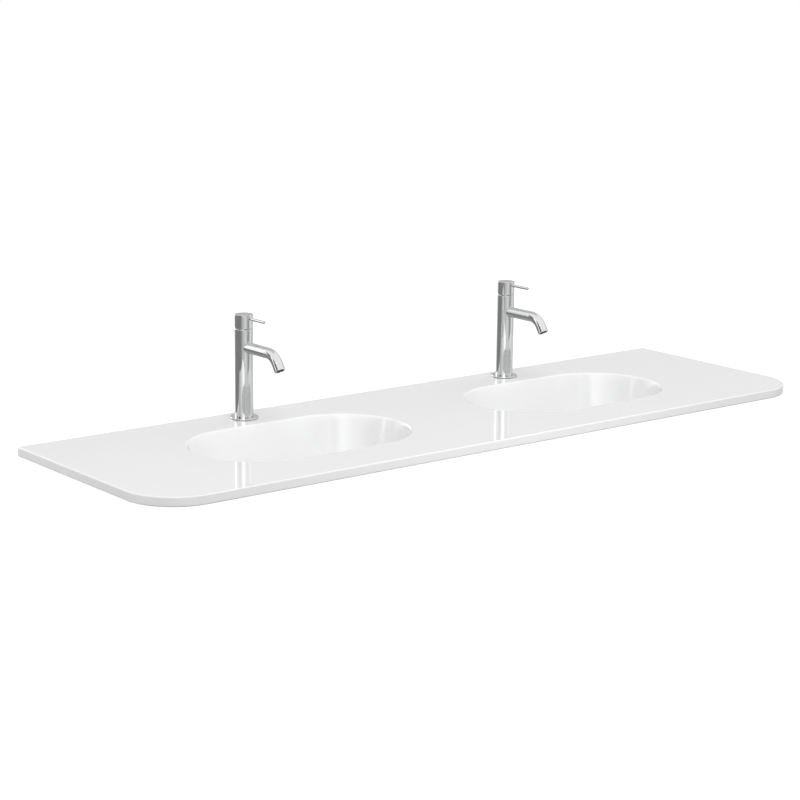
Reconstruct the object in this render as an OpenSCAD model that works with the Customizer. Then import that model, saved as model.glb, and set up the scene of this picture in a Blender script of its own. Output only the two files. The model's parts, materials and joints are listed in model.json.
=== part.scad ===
// Double washbasin: one cast top with two long oval bowls, two single-lever taps, two click wastes.
// Millimetres. The origin is the middle of the flat underside, between the bowls.
// +Z points up, -Y to the person at the basin, +Y to the wall and +X to that person's right.

/* [Basin top] */
// Width of the basin top, end to end
top_w = 1500; // [1320:10:1700]
// Depth of the basin top, front to back
top_d = 450; // [420:5:520]
// Thickness of the flat top
top_t = 17; // [14:1:24]
// Plan radius of the two front corners
front_corner_r = 95; // [60:5:110]
// Rounding of the long edges and the plan radius of the back corners
edge_r = 2.5; // [1.5:0.5:4]

/* [Bowls] */
// Distance between the centres of the two bowls
bowl_pitch = 627; // [560:1:680]
// Length of each bowl at the rim
bowl_l = 436; // [400:2:460]
// Width of each bowl at the rim
bowl_w = 254; // [230:2:264]
// Depth of each bowl, from the top face to the lowest line of its floor
bowl_depth = 110; // [95:1:130]
// Rounding where the top face rolls into the bowl
rim_r = 5; // [4:1:10]
// Slope of the bowl's wall from upright, in degrees
wall_draft = 15; // [9:1:18]
// Rounding between the bowl's wall and its floor
floor_r = 32; // [20:1:36]
// Fall of the bowl's floor to its middle line, in degrees
floor_fall = 2; // [1:0.5:3]
// Thickness of the bowl's wall
bowl_wall = 12; // [9:1:15]
// Thickness of the bowl's floor at the waste
floor_t = 14; // [12:1:18]
// Rounding between the flat underside and the outside of the bowl
under_r = 8; // [4:1:12]

/* [Tap on the basin] */
// Distance from the back edge of the top to the tap's axis
tap_back = 48; // [42:1:60]
// Diameter of the tap hole in the top
tap_hole_d = 35; // [34:0.5:38]
// Diameter of the flat recess round the tap hole, under the top
spot_d = 60; // [56:1:64]
// Depth of that recess
spot_depth = 3; // [2:0.5:5]

/* [Tap body] */
// Height of the tap above the basin top
tap_h = 192; // [186:1:222]
// Diameter of the tap's body and handle
body_d = 34; // [33:0.5:38]
// Diameter of the base ring
ring_d = 52; // [48:1:58]
// Thickness of the base ring
ring_t = 2.6; // [2:0.2:5]
// Thickness of the gasket under the base ring
base_gasket_t = 0.8; // [0.6:0.1:2]
// Diameter of the hollow in the foot of the body
foot_d = 27; // [26:0.5:28]
// Height of the hollow in the foot of the body
foot_h = 16.6; // [10:0.2:30]

/* [Spout] */
// Height of the spout's axis above the basin top
spout_z = 132.5; // [120:0.5:136]
// Outside diameter of the spout
spout_d = 20.5; // [18:0.5:21.5]
// Wall thickness of the spout
spout_wall = 1.5; // [1:0.1:2]
// How much wider than the spout the weld at each end of its bend is
spout_weld = 0.3; // [0.2:0.1:0.6]
// Reach from the tap's axis to the middle of the outlet
spout_reach = 113; // [100:1:150]
// Radius of the spout's bend, on its centre line
bend_r = 34; // [26:1:40]
// Angle that the outlet points below level
bend_angle = 56; // [50:1:80]
// Straight length after the bend
outlet_l = 14; // [8:0.5:18]
// Depth that the spout is let into the body
spout_socket = 4; // [3:0.5:5]

/* [Aerator] */
// Length of the aerator ring
aerator_l = 5; // [4:0.5:6]
// Wall thickness of the aerator ring
aerator_wall = 1.2; // [0.8:0.1:1.6]
// Recess of the aerator ring in the outlet
aerator_recess = 0.8; // [0.5:0.1:1.5]
// Diameter of each hole in the aerator's insert
jet_d = 1.2; // [0.8:0.1:1.4]
// Distance between neighbouring holes in the insert
jet_pitch = 2.6; // [2.3:0.1:2.8]

/* [Handle] */
// Height of the handle, from the seam to its flat top
handle_h = 26; // [25:0.5:32]
// Gap at the seam between the body and the handle
seam_gap = 0.5; // [0.4:0.1:1]
// Chamfer round the handle's flat top
handle_chamfer = 0.6; // [0.4:0.1:1.5]
// Chamfer of the body and of the handle at the seam
seam_chamfer = 0.8; // [0.4:0.1:1.2]
// Wall thickness of the handle's hollow part
handle_wall = 3.2; // [2.4:0.1:4]
// Height of the handle's solid top
handle_solid = 15.5; // [14.5:0.5:18]
// Diameter of the lever pin
lever_d = 5.6; // [4.6:0.1:6.2]
// Reach from the tap's axis to the end of the lever pin
lever_reach = 65; // [45:1:90]
// Distance from the handle's flat top down to the lever pin's axis
lever_down = 6; // [5.5:0.1:6.5]
// Depth that the lever pin is screwed into the handle
lever_socket = 9; // [6:0.5:11]
// Lift of the lever from closed to fully open, in degrees
lift_max = 14; // [8:1:16]
// Diameter of the grub screw at the back of the handle
grub_d = 4; // [3:0.5:4]
// Distance from the handle's flat top down to the grub screw's axis
grub_down = 12.5; // [12.1:0.1:12.9]

/* [Cartridge] */
// Outside diameter of the cartridge's housing
cartridge_d = 24.8; // [24:0.1:25.4]
// Wall thickness of the housing
cartridge_wall = 2; // [1.6:0.1:2.4]
// Thickness of the housing's base
cartridge_base = 4; // [3:0.5:4]
// Height of the housing
cartridge_h = 16; // [15.5:0.5:16.5]
// Distance from the seam down to the foot of the cartridge
cartridge_down = 22; // [21.6:0.1:22.2]
// Thickness of each ceramic disc
disc_t = 3; // [2.6:0.2:3]
// Diameter of the moving disc
disc_d = 14.6; // [14.4:0.1:14.8]
// Distance between the two guide flats on the moving disc
disc_flats = 12.4; // [12.4:0.1:12.6]
// Thickness of the carrier on the moving disc
carrier_t = 2.8; // [2.4:0.2:3]
// Diameter of the two inlet ports in the discs
port_d = 3.2; // [2.6:0.2:3.2]
// Distance of each inlet port from the cartridge's middle plane
port_x = 4.5; // [4.3:0.1:4.6]
// Distance of the inlet ports in front of the cartridge's axis
port_y = 3.2; // [2.8:0.1:3.4]
// Diameter of the outlet port and of the body's outlet bore
outlet_port_d = 4.2; // [3:0.2:4.2]
// Distance of the outlet port behind the cartridge's axis
outlet_port_y = 4; // [3.5:0.1:4.5]
// Thickness of the turret's flange
turret_flange_t = 2.9; // [2.4:0.1:3]
// Diameter of the turret's neck
neck_d = 14; // [13:0.5:15]
// Height of the turret's neck above the pivot
neck_over = 4; // [3:0.5:5]
// Diameter of the pivot pin
pivot_d = 2.5; // [2:0.1:3]
// Diameter of the stem at the pivot
stem_d = 6.4; // [6:0.1:7]
// Diameter of the stem inside the handle
stem_top_d = 7; // [6:0.5:8]
// Diameter of the stem's thin lower end
stem_foot_d = 3.2; // [2.6:0.2:3.4]
// Diameter of the ball at the stem's lower end
ball_d = 4; // [3.6:0.2:4.4]
// Distance from the pivot down to the ball's centre
ball_down = 10.8; // [10.6:0.1:10.9]
// Height of the nut that holds the cartridge
nut_h = 5.3; // [4.6:0.1:5.6]
// Diameter of the thread for that nut
nut_d = 27; // [26.6:0.2:28]

/* [Water inlets and fixing] */
// Diameter of each hose inlet, at the crest of its thread
inlet_d = 9; // [8:0.5:9.5]
// Depth of each hose inlet
inlet_l = 12; // [10:1:20]
// Distance of each inlet from the tap's middle plane
inlet_x = 6; // [5.5:0.1:6.4]
// Distance of the inlets in front of the tap's axis
inlet_y = 5; // [4:0.2:5.4]
// Diameter of the fixing stud
stud_d = 8; // [6:1:8]
// Length of the fixing stud
stud_l = 84; // [76:1:110]
// Depth that the stud is screwed into the body
stud_socket = 12; // [8:1:20]
// Distance of the stud behind the tap's axis
stud_y = 9; // [8:0.2:9.2]
// Diameter of the clamp plate and its gasket
clamp_d = 50; // [46:1:54]
// Thickness of the rubber clamp gasket
clamp_gasket_t = 3; // [2:0.5:5]
// Thickness of the steel clamp plate
clamp_plate_t = 3; // [2:0.5:4]
// Width of the slot for the hoses in the clamp plate
clamp_slot = 26; // [24:1:28]
// Width across the flats of the stud's nut
stud_nut_af = 13; // [11:1:14]
// Height of the stud's nut
stud_nut_h = 18; // [8:1:24]

/* [Waste] */
// Diameter of the hole in the bowl's floor
waste_hole_d = 46; // [45:0.5:48]
// Diameter of the waste's flange
waste_flange_d = 64; // [60:1:70]
// Thickness of the waste's flange
waste_flange_t = 2.2; // [1.8:0.1:3]
// Thickness of the gasket under the flange
waste_gasket_t = 1.2; // [0.8:0.1:2]
// Outside diameter of the threaded tail
tail_d = 41.9; // [40:0.1:43]
// Wall thickness of the tail
tail_wall = 2.4; // [2:0.1:3.5]
// Length of the tail that stands out below the nut
tail_free = 36; // [30:1:60]
// Width of the relief groove between the nut and the free tail
tail_groove = 1.5; // [1:0.5:3]
// Thickness of the rubber seal under the bowl
waste_seal_t = 3; // [2:0.5:5]
// Outside diameter of that seal
waste_seal_d = 62; // [56:1:66]
// Height of the waste's nut
waste_nut_h = 9; // [7:0.5:14]
// Width across the flats of the waste's nut
waste_nut_af = 56; // [52:1:62]
// Diameter of the plug
plug_d = 63; // [58:1:68]
// Thickness of the plug at its edge
plug_edge = 2.4; // [1.6:0.2:4]
// Rise of the plug's domed top
plug_dome = 2.6; // [1.5:0.1:4]
// Thickness of the plug's rubber seal
plug_seal_t = 2; // [1.4:0.1:3]
// Outside diameter of the plug's rubber seal
plug_seal_d = 52; // [48:1:56]
// Diameter of the plug's spindle
spindle_d = 8; // [6:0.5:10]
// Length of the plug's spindle
spindle_l = 36; // [30:1:44]
// Outside diameter of the click mechanism
click_d = 16; // [14:0.5:20]
// Height of the click mechanism
click_h = 30; // [24:1:36]
// Distance from the flange's top down to the click mechanism
click_down = 13; // [12:1:16]
// Height of the cross that holds the click mechanism
cross_h = 8; // [5:1:12]
// Thickness of each arm of that cross
cross_arm = 3; // [2:0.5:5]

/* [Clearances] */
// Radial clearance between fixed round pieces that fit in each other
fit = 0.05; // [0.03:0.01:0.1]
// Radial clearance between round pieces that turn or slide in each other
run = 0.05; // [0.03:0.01:0.09]
// Gap between a closed plug's seal and the flange below it
seal_gap = 0.3; // [0.2:0.1:0.5]

/* [Hidden] */
$fn = 72;
// How far a cut runs past the face that it opens
past = 1;

// Side of the basin, seen by the person at it
left = -1;
right = 1;

// Heights in the basin
floor_z = top_t - bowl_depth;
bowl_bottom_z = floor_z - floor_t;
flange_seat_z = floor_z - waste_flange_t - waste_gasket_t;
tap_y = top_d / 2 - tap_back;

// Heights in the tap, counted from the basin top
body_foot_z = base_gasket_t + ring_t;
seam_z = tap_h - handle_h;
body_top_z = seam_z - seam_gap / 2;
handle_z = seam_z + seam_gap / 2;
cartridge_z = seam_z - cartridge_down;
housing_top_z = cartridge_z + cartridge_h;
fixed_disc_z = cartridge_z + cartridge_base;
moving_disc_z = fixed_disc_z + disc_t + run;
carrier_z = moving_disc_z + disc_t;
turret_flange_z = housing_top_z - 2 * run - turret_flange_t;
pivot_z = seam_z;
ball_z = pivot_z - ball_down;
neck_top_z = pivot_z + neck_over;
inlet_z = body_foot_z + foot_h;
spot_z = spot_depth - top_t;

// Diameters in the cartridge
housing_bore_d = cartridge_d - 2 * cartridge_wall;
turret_d = housing_bore_d - 4 * run;
guide_gap = disc_flats + 2 * run;

// Heights in the waste, counted from the lowest line of the bowl's floor
waste_recess_d = waste_flange_d + 2 * seal_gap;
waste_seal_z = -floor_t;
waste_nut_z = waste_seal_z - waste_seal_t;
tail_end_z = waste_nut_z - waste_nut_h - tail_free;
click_z = -click_down - click_h;
plug_z = seal_gap + plug_seal_t;

// Places what follows on the axis of one tap, on the basin's top face
module at_tap(side) {
    translate([side * bowl_pitch / 2, tap_y, top_t]) children();
}

// Places what follows on the axis of one waste, at the lowest line of the bowl's floor
module at_waste(side) {
    translate([side * bowl_pitch / 2, 0, floor_z]) children();
}

// A round bar along Z, from z0 to z1
module bar(d, z0, z1) {
    translate([0, 0, z0]) cylinder(d = d, h = z1 - z0);
}

// A round bar along Z, from z0 to z1, with a chamfer round its top and one round its foot
module chamfered_bar(d, z0, z1, foot, top) {
    bar(d, z0 + foot, z1 - top);
    translate([0, 0, z1 - top]) cylinder(d1 = d, d2 = d - 2 * top, h = top);
    if (foot > 0) translate([0, 0, z0]) cylinder(d1 = d - 2 * foot, d2 = d, h = foot);
}

// A round ring along Z, from z0 to z1
module ring(d_out, d_in, z0, z1) {
    difference() {
        bar(d_out, z0, z1);
        bar(d_in, z0 - past, z1 + past);
    }
}

// A round bar towards the front, from the distance y0 to y1 in front of the axis, at the height z
module front_bar(d, y0, y1, z) {
    translate([0, -y0, z]) rotate([90, 0, 0]) cylinder(d = d, h = y1 - y0);
}

// Basin top
// Plan of the top, drawn in by the amount inset
module top_plan(inset) {
    half_w = top_w / 2 - inset;
    half_d = top_d / 2 - inset;
    corner = front_corner_r - inset;
    translate([-half_w, -half_d + corner]) square([2 * half_w, 2 * half_d - corner]);
    translate([-half_w + corner, -half_d]) square([2 * (half_w - corner), corner]);
    for (side = [left, right]) {
        translate([side * (half_w - corner), -half_d + corner]) circle(r = corner, $fn = 180);
    }
}

// Round bead along the whole outline at the height z, which rounds the slab's long edges
module edge_bead(z) {
    x = top_w / 2 - edge_r;
    y = top_d / 2 - edge_r;
    corner = front_corner_r - edge_r;
    translate([0, 0, z]) {
        translate([-x, y, 0]) rotate([0, 90, 0]) cylinder(r = edge_r, h = 2 * x);
        translate([-x + corner, -y, 0]) rotate([0, 90, 0]) cylinder(r = edge_r, h = 2 * (x - corner));
        for (side = [left, right]) {
            translate([side * x, y, 0]) rotate([90, 0, 0]) cylinder(r = edge_r, h = 2 * y - corner);
            translate([side * x, y, 0]) sphere(r = edge_r);
            translate([side * (x - corner), corner - y, 0]) rotate_extrude() {
                translate([corner, 0]) circle(r = edge_r);
            }
        }
    }
}

module slab() {
    linear_extrude(top_t) top_plan(edge_r);
    translate([0, 0, edge_r]) linear_extrude(top_t - 2 * edge_r) top_plan(0);
    edge_bead(edge_r);
    edge_bead(top_t - edge_r);
}

// Directions on the bowl's section: down its wall, and from its wall and its floor into the bowl
wall_down = [-sin(wall_draft), -cos(wall_draft)];
wall_in = [-cos(wall_draft), sin(wall_draft)];
floor_up = [-sin(floor_fall), cos(floor_fall)];
level_up = [0, 1];

// Centre of the rim's rounding, and the point where that rounding meets the wall
rim_c = [bowl_w / 2, top_t - rim_r];
wall_top = rim_c + rim_r * wall_in;
outer_wall_top = wall_top - bowl_wall * wall_in;

// Centre of a rounding of radius r between a wall through the point p and a floor through f
function rounding_c(p, f, up, r) =
    let (q = p + r * wall_in)
    q + ((r - (q - f) * up) / (wall_down * up)) * wall_down;

// Where the wall through the point p crosses the height z
function wall_at(p, z) = p + ((z - p[1]) / wall_down[1]) * wall_down;

inner_c = rounding_c(wall_top, [0, floor_z], floor_up, floor_r);
outer_r = floor_r + bowl_wall / 2;
outer_c = rounding_c(outer_wall_top, [0, bowl_bottom_z], level_up, outer_r);

// Half section of the hollow of a bowl
module hollow_section() {
    top = top_t + past;
    polygon([
        [0, floor_z], inner_c - floor_r * floor_up, inner_c, inner_c - floor_r * wall_in,
        wall_top, [wall_top[0], top], [0, top]
    ]);
    translate(inner_c) circle(r = floor_r);
    difference() {
        polygon([wall_top, [wall_top[0], top], [rim_c[0], top], rim_c]);
        translate(rim_c) circle(r = rim_r);
    }
}

// Half section of the outside of a bowl, up into the slab
module outside_section() {
    inside_slab = top_t / 4;
    // The rounding under the slab touches the underside and the wall from outside
    under_c = wall_at(outer_wall_top - under_r * wall_in, -under_r);
    under_wall = under_c + under_r * wall_in;
    polygon([
        [0, bowl_bottom_z], outer_c - outer_r * level_up, outer_c, outer_c - outer_r * wall_in,
        wall_at(outer_wall_top, inside_slab), [0, inside_slab]
    ]);
    translate(outer_c) circle(r = outer_r);
    difference() {
        polygon([
            under_wall, wall_at(outer_wall_top, inside_slab), [under_c[0], inside_slab], under_c
        ]);
        translate(under_c) circle(r = under_r);
    }
}

// Turns a half section into a long oval: two half turns and the straight stretch between them
module long_oval() {
    straight = bowl_l - bowl_w;
    for (side = [left, right]) {
        translate([side * straight / 2, 0, 0]) rotate([0, 0, -90 * side]) {
            rotate_extrude(angle = 180, $fn = 144) children();
        }
    }
    translate([-straight / 2, 0, 0]) rotate([90, 0, 90]) linear_extrude(straight) {
        children();
        mirror([1, 0]) children();
    }
}

module washbasin_top() {
    color("white") difference() {
        union() {
            slab();
            for (side = [left, right]) {
                translate([side * bowl_pitch / 2, 0, 0]) long_oval() outside_section();
            }
        }
        for (side = [left, right]) {
            translate([side * bowl_pitch / 2, 0, 0]) long_oval() hollow_section();
            at_waste(side) {
                bar(waste_hole_d, -floor_t - past, past);
                bar(waste_recess_d, flange_seat_z - floor_z, waste_recess_d / 2 * tan(floor_fall) + past);
            }
            at_tap(side) {
                bar(tap_hole_d, -top_t - past, past);
                bar(spot_d, -top_t - past, spot_z);
            }
        }
    }
}

// Tap: pieces that stay still
module base_gasket() {
    color("dimgray") ring(ring_d - 2, foot_d, 0, base_gasket_t);
}

module base_ring() {
    color("silver") difference() {
        union() {
            bar(ring_d, base_gasket_t, body_foot_z - ring_t / 4);
            translate([0, 0, body_foot_z - ring_t / 4]) {
                cylinder(d1 = ring_d, d2 = ring_d - ring_t / 2, h = ring_t / 4);
            }
        }
        bar(foot_d, 0, body_foot_z + past);
    }
}

// Spout socket, outlet bore and its rise to the cartridge
module outlet_way() {
    front_bar(spout_d + 2 * fit, body_d / 2 - spout_socket, body_d, spout_z);
    front_bar(outlet_port_d, -outlet_port_y, body_d / 2, spout_z);
    translate([0, outlet_port_y, 0]) bar(outlet_port_d, spout_z, cartridge_z + past);
}

module tap_body() {
    color("silver") difference() {
        chamfered_bar(body_d, body_foot_z, body_top_z, 0, seam_chamfer);
        bar(foot_d, body_foot_z - past, inlet_z);
        bar(cartridge_d + 4 * fit, cartridge_z, body_top_z);
        bar(nut_d, housing_top_z, body_top_z + past);
        outlet_way();
        for (side = [left, right]) {
            translate([side * inlet_x, -inlet_y, 0]) bar(inlet_d, inlet_z - past, inlet_z + inlet_l);
            translate([side * port_x, -port_y, 0]) {
                bar(port_d, inlet_z + inlet_l - past, cartridge_z + past);
            }
        }
        translate([0, stud_y, 0]) bar(stud_d + 2 * fit, inlet_z - past, inlet_z + stud_socket);
    }
}

// Where the spout's bend starts, in front of the tap's axis
bend_start = spout_reach - bend_r * sin(bend_angle) - outlet_l * cos(bend_angle);

// Places what follows at the end of the bend, with +Z along the outlet
module at_outlet() {
    translate([0, -bend_start - bend_r * sin(bend_angle), spout_z - bend_r * (1 - cos(bend_angle))]) {
        rotate([90 + bend_angle, 0, 0]) children();
    }
}

// The spout's whole course as a round bar of the diameter d, longer at both ends by the amount extra
module spout_course(d, extra) {
    front_bar(d, body_d / 2 - spout_socket - extra, bend_start, spout_z);
    translate([0, -bend_start, spout_z - bend_r]) rotate([90, 0, -90]) {
        rotate([0, 0, 90 - bend_angle]) rotate_extrude(angle = bend_angle, $fn = 120) {
            translate([bend_r, 0]) circle(d = d, $fn = 72);
        }
    }
    at_outlet() cylinder(d = d, h = outlet_l + extra);
    // A low weld at each end of the bend joins the three stretches
    front_bar(d + spout_weld, bend_start - spout_weld, bend_start + spout_weld, spout_z);
    at_outlet() bar(d + spout_weld, -spout_weld, spout_weld);
}

module spout() {
    color("silver") difference() {
        spout_course(spout_d, 0);
        spout_course(spout_d - 2 * spout_wall, past);
    }
}

outlet_bore_d = spout_d - 2 * spout_wall;
aerator_d = outlet_bore_d - 2 * fit;
insert_d = aerator_d - 2 * aerator_wall - 2 * fit;

module aerator_ring() {
    color("gray") at_outlet() translate([0, 0, outlet_l - aerator_recess - aerator_l]) {
        ring(aerator_d, aerator_d - 2 * aerator_wall, 0, aerator_l);
    }
}

// Insert of the aerator, with rows of holes round a middle hole
module aerator_insert() {
    color("dimgray") at_outlet() translate([0, 0, outlet_l - aerator_recess - aerator_l]) difference() {
        bar(insert_d, 0, aerator_l - fit);
        bar(jet_d, -past, aerator_l + past);
        for (row = [1, 2]) {
            for (turn = [0 : 6 * row - 1]) {
                rotate([0, 0, turn * 60 / row]) translate([row * jet_pitch, 0, 0]) {
                    bar(jet_d, -past, aerator_l + past);
                }
            }
        }
    }
}

// The three ports of the cartridge, from z0 to z1
module ports(z0, z1) {
    for (side = [left, right]) {
        translate([side * port_x, -port_y, 0]) bar(port_d, z0, z1);
    }
    translate([0, outlet_port_y, 0]) bar(outlet_port_d, z0, z1);
}

module cartridge_housing() {
    color("ivory") difference() {
        bar(cartridge_d, cartridge_z, housing_top_z);
        bar(housing_bore_d, fixed_disc_z, housing_top_z + past);
        ports(cartridge_z - past, fixed_disc_z + past);
    }
}

module fixed_disc() {
    color("whitesmoke") difference() {
        bar(housing_bore_d - 4 * fit, fixed_disc_z, fixed_disc_z + disc_t);
        ports(fixed_disc_z - past, fixed_disc_z + disc_t + past);
    }
}

// Nut over the cartridge, with two spanner slots
module cartridge_nut() {
    slot_w = 3;
    color("goldenrod") difference() {
        bar(nut_d - 2 * fit, housing_top_z, housing_top_z + nut_h);
        bar(neck_d + 2 * run, housing_top_z - past, housing_top_z + nut_h + past);
        translate([-nut_d / 2, -slot_w / 2, housing_top_z + nut_h / 2]) cube([nut_d, slot_w, nut_h]);
    }
}

// Tap: pieces that swivel
module moving_disc() {
    pocket_d = 8.4;
    pocket_y = 1.2;
    pocket_t = disc_t / 3;
    color("whitesmoke") difference() {
        guided(moving_disc_z, carrier_z);
        translate([0, pocket_y, 0]) bar(pocket_d, moving_disc_z - past, moving_disc_z + pocket_t);
        bar(ball_d + 4 * run, ball_z - ball_d / 2 - 4 * run, carrier_z + past);
    }
}

// Round plate with two guide flats, from z0 to z1
module guided(z0, z1) {
    intersection() {
        bar(disc_d, z0, z1);
        translate([-disc_flats / 2, -disc_d / 2, z0]) cube([disc_flats, disc_d, z1 - z0]);
    }
}

module disc_carrier() {
    color("black") difference() {
        guided(carrier_z, carrier_z + carrier_t);
        bar(ball_d + 4 * run, carrier_z - past, carrier_z + carrier_t + past);
    }
}

// Turret: a skirt that guides the disc, a flange under the nut and a neck with the pivot's two cheeks
module turret() {
    skirt_z = moving_disc_z + run;
    slot_w = stem_d + 2 * run;
    color("lightgray") difference() {
        union() {
            bar(turret_d, skirt_z, turret_flange_z + turret_flange_t);
            bar(neck_d, turret_flange_z, neck_top_z);
        }
        translate([-guide_gap / 2, -turret_d, skirt_z - past]) {
            cube([guide_gap, 2 * turret_d, turret_flange_z - skirt_z + past]);
        }
        translate([-slot_w / 2, -neck_d / 2 + 0.5, skirt_z]) cube([slot_w, neck_d - 1, neck_top_z]);
        translate([-slot_w / 2, -neck_d, housing_top_z + nut_h]) cube([slot_w, 2 * neck_d, neck_top_z]);
        translate([-neck_d, 0, pivot_z]) rotate([0, 90, 0]) cylinder(d = pivot_d + fit, h = 2 * neck_d);
    }
}

module pivot_pin() {
    length = neck_d - 0.4;
    color("gray") translate([-length / 2, 0, pivot_z]) rotate([0, 90, 0]) cylinder(d = pivot_d, h = length);
}

// Tap: pieces that lift
stem_top_z = tap_h - lever_down - lever_d / 2 - 0.7;
handle_bore_top = tap_h - handle_solid;

module stem() {
    color("gray") difference() {
        union() {
            translate([0, 0, ball_z]) sphere(d = ball_d);
            bar(stem_foot_d, ball_z, pivot_z - stem_d);
            bar(stem_d, pivot_z - stem_d, neck_top_z + 1);
            bar(stem_top_d, neck_top_z + 1, stem_top_z);
        }
        translate([-stem_d, 0, pivot_z]) rotate([0, 90, 0]) cylinder(d = pivot_d + 2 * run, h = 2 * stem_d);
    }
}

module handle() {
    relief_angle = lift_max + 1;
    color("silver") difference() {
        chamfered_bar(body_d, handle_z, tap_h, seam_chamfer, handle_chamfer);
        bar(body_d - 2 * handle_wall, handle_z - past, handle_bore_top);
        bar(stem_top_d + 2 * fit, handle_bore_top - past, stem_top_z + fit);
        // The rear half of the lower edge slopes up, so that the handle can lean back
        translate([-body_d, 0, handle_z]) rotate([relief_angle, 0, 0]) translate([0, 0, -body_d]) {
            cube([2 * body_d, 2 * body_d, body_d]);
        }
        front_bar(lever_d + 2 * fit, body_d / 2 - lever_socket, body_d, tap_h - lever_down);
        front_bar(grub_d + 2 * fit, -body_d, 0, tap_h - grub_down);
    }
}

module lever_pin() {
    tip = 0.4;
    root = body_d / 2 - lever_socket;
    color("silver") {
        front_bar(lever_d, root, lever_reach - tip, tap_h - lever_down);
        translate([0, tip - lever_reach, tap_h - lever_down]) rotate([90, 0, 0]) {
            cylinder(d1 = lever_d, d2 = lever_d - 2 * tip, h = tip);
        }
    }
}

// Grub screw with a hexagon socket, from the back of the handle to the stem
module grub_screw() {
    sunk = 1;
    root = stem_top_d / 2;
    end = body_d / 2 - sunk;
    socket_d = grub_d / 2;
    color("dimgray") difference() {
        front_bar(grub_d, -end, -root, tap_h - grub_down);
        front_bar(socket_d, -end - past, -end + grub_d / 2, tap_h - grub_down, $fn = 6);
    }
}

// Tap: pieces under the basin
module fixing_stud() {
    top = inlet_z + stud_socket;
    color("goldenrod") translate([0, stud_y, 0]) bar(stud_d, top - stud_l, top);
}

// Open slot for the hoses, from the front edge to just behind the inlets
module hose_slot(z0, z1) {
    end = 0.8;
    translate([-clamp_slot / 2, -clamp_d, z0 - past]) cube([clamp_slot, clamp_d + end, z1 - z0 + 2 * past]);
}

module clamp_shape(z0, z1) {
    difference() {
        bar(clamp_d, z0, z1);
        hose_slot(z0, z1);
        translate([0, stud_y, 0]) bar(stud_d + 4 * fit, z0 - past, z1 + past);
    }
}

clamp_gasket_z = spot_z - clamp_gasket_t;
clamp_plate_z = clamp_gasket_z - clamp_plate_t;

module clamp_gasket() {
    color("dimgray") clamp_shape(clamp_gasket_z, spot_z);
}

module clamp_plate() {
    color("lightgray") clamp_shape(clamp_plate_z, clamp_gasket_z);
}

module stud_nut() {
    across_corners = stud_nut_af / cos(30);
    color("goldenrod") translate([0, stud_y, 0]) difference() {
        translate([0, 0, clamp_plate_z - stud_nut_h]) cylinder(d = across_corners, h = stud_nut_h, $fn = 6);
        bar(stud_d + 2 * fit, clamp_plate_z - stud_nut_h - past, clamp_plate_z + past);
    }
}

// Waste: pieces that stay still
module waste_gasket() {
    color("dimgray") translate([0, 0, -waste_flange_t - waste_gasket_t]) {
        ring(waste_flange_d, tail_d + 2 * fit, 0, waste_gasket_t);
    }
}

tail_bore_d = tail_d - 2 * tail_wall;

// Plan of the openings between the arms of the cross in the waste
module cross_windows(hub_d) {
    rim = 2;
    difference() {
        circle(d = tail_bore_d - rim);
        circle(d = hub_d);
        for (turn = [0 : 2]) {
            rotate(90 + turn * 120) translate([0, -cross_arm / 2]) square([tail_bore_d, cross_arm]);
        }
    }
}

module waste_body() {
    groove_z = waste_nut_z - waste_nut_h;
    groove_depth = 0.6;
    hub_d = click_d + 4;
    cross_z = -click_down - cross_h;
    color("silver") difference() {
        union() {
            bar(waste_flange_d, -waste_flange_t, 0);
            bar(tail_d, tail_end_z, -waste_flange_t);
        }
        bar(tail_bore_d, tail_end_z - past, cross_z);
        bar(tail_bore_d, -click_down, past);
        bar(click_d + 2 * fit, cross_z - past, past);
        translate([0, 0, cross_z - past]) linear_extrude(cross_h + 2 * past) cross_windows(hub_d);
        ring(tail_d + 2, tail_d - 2 * groove_depth, groove_z - tail_groove, groove_z);
    }
}

module click_mechanism() {
    color("ivory") difference() {
        union() {
            bar(click_d, click_z, -click_down);
            bar(click_d + 3, -click_down, -click_down + 2);
        }
        bar(spindle_d + 2 * run, click_z + 2, past);
    }
}

module waste_seal() {
    color("dimgray") ring(waste_seal_d, tail_d + 2 * fit, waste_nut_z, waste_seal_z);
}

module waste_nut() {
    across_corners = waste_nut_af / cos(30);
    bottom = waste_nut_z - waste_nut_h;
    color("silver") difference() {
        union() {
            bar(waste_seal_d, waste_nut_z - 2, waste_nut_z);
            translate([0, 0, bottom]) cylinder(d = across_corners, h = waste_nut_h, $fn = 6);
        }
        bar(tail_d + 2 * fit, bottom - past, waste_nut_z + past);
    }
}

// Waste: pieces that rise with the plug
module plug_seal() {
    color("dimgray") ring(plug_seal_d, tail_bore_d - 6, seal_gap, plug_z);
}

// Domed plug: a disc cut from a large sphere
module plug() {
    dome_r = (pow(plug_d / 2, 2) + pow(plug_dome, 2)) / (2 * plug_dome);
    edge_z = plug_z + plug_edge;
    color("silver") {
        bar(plug_d, plug_z, edge_z);
        intersection() {
            bar(plug_d, edge_z, edge_z + plug_dome);
            translate([0, 0, edge_z + plug_dome - dome_r]) sphere(r = dome_r, $fn = 180);
        }
    }
}

module plug_spindle() {
    color("goldenrod") bar(spindle_d, plug_z - spindle_l, plug_z);
}

// Fasteners that both sides share
module fixing_studs() {
    at_tap(left) fixing_stud();
    at_tap(right) fixing_stud();
}

module stud_nuts() {
    at_tap(left) stud_nut();
    at_tap(right) stud_nut();
}

module cartridge_nuts() {
    at_tap(left) cartridge_nut();
    at_tap(right) cartridge_nut();
}

module waste_nuts() {
    at_waste(left) waste_nut();
    at_waste(right) waste_nut();
}

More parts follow.
